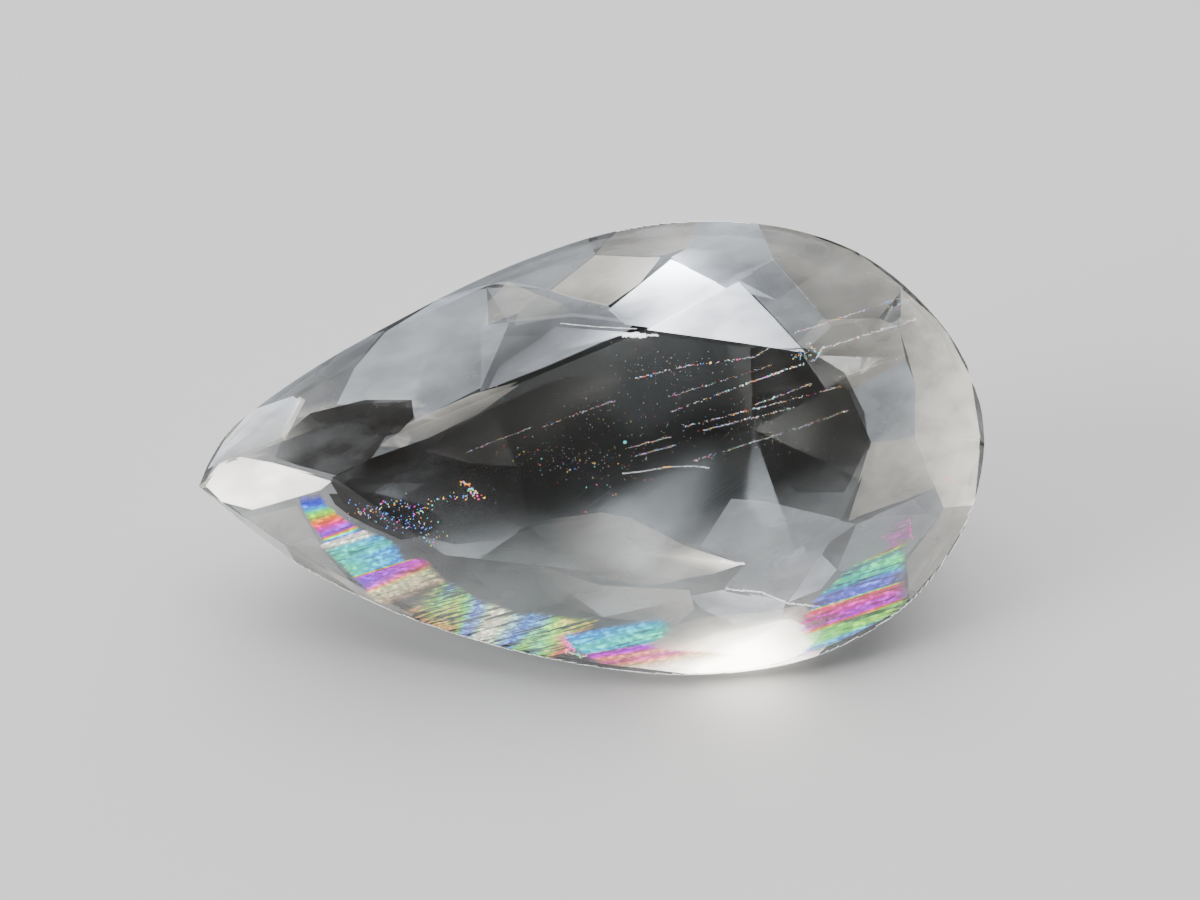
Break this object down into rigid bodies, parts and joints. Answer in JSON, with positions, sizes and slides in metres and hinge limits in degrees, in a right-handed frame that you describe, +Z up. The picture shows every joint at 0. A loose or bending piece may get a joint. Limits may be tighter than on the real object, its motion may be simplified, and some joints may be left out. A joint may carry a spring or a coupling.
{
  "type": "faceted pear cut moonstone",
  "caption": "Faceted pear-cut moonstone, clear and slightly milky, lying on one of its lower facets with its flat table turned up and forward.",
  "frame": {"origin": "on the surface that the stone lies on, under the middle of its bounding box", "axes": "+Z up, away from the surface. +X runs along the stone's longest way, from its tip to its round head. The table faces up and towards -Y."},
  "size_m": [0.01, 0.0046, 0.0041],
  "materials": {
    "moonstone": "polished"
  },
  "bodies": {
    "root": {"moonstone": "moonstone"}
  },
  "joints": []
}
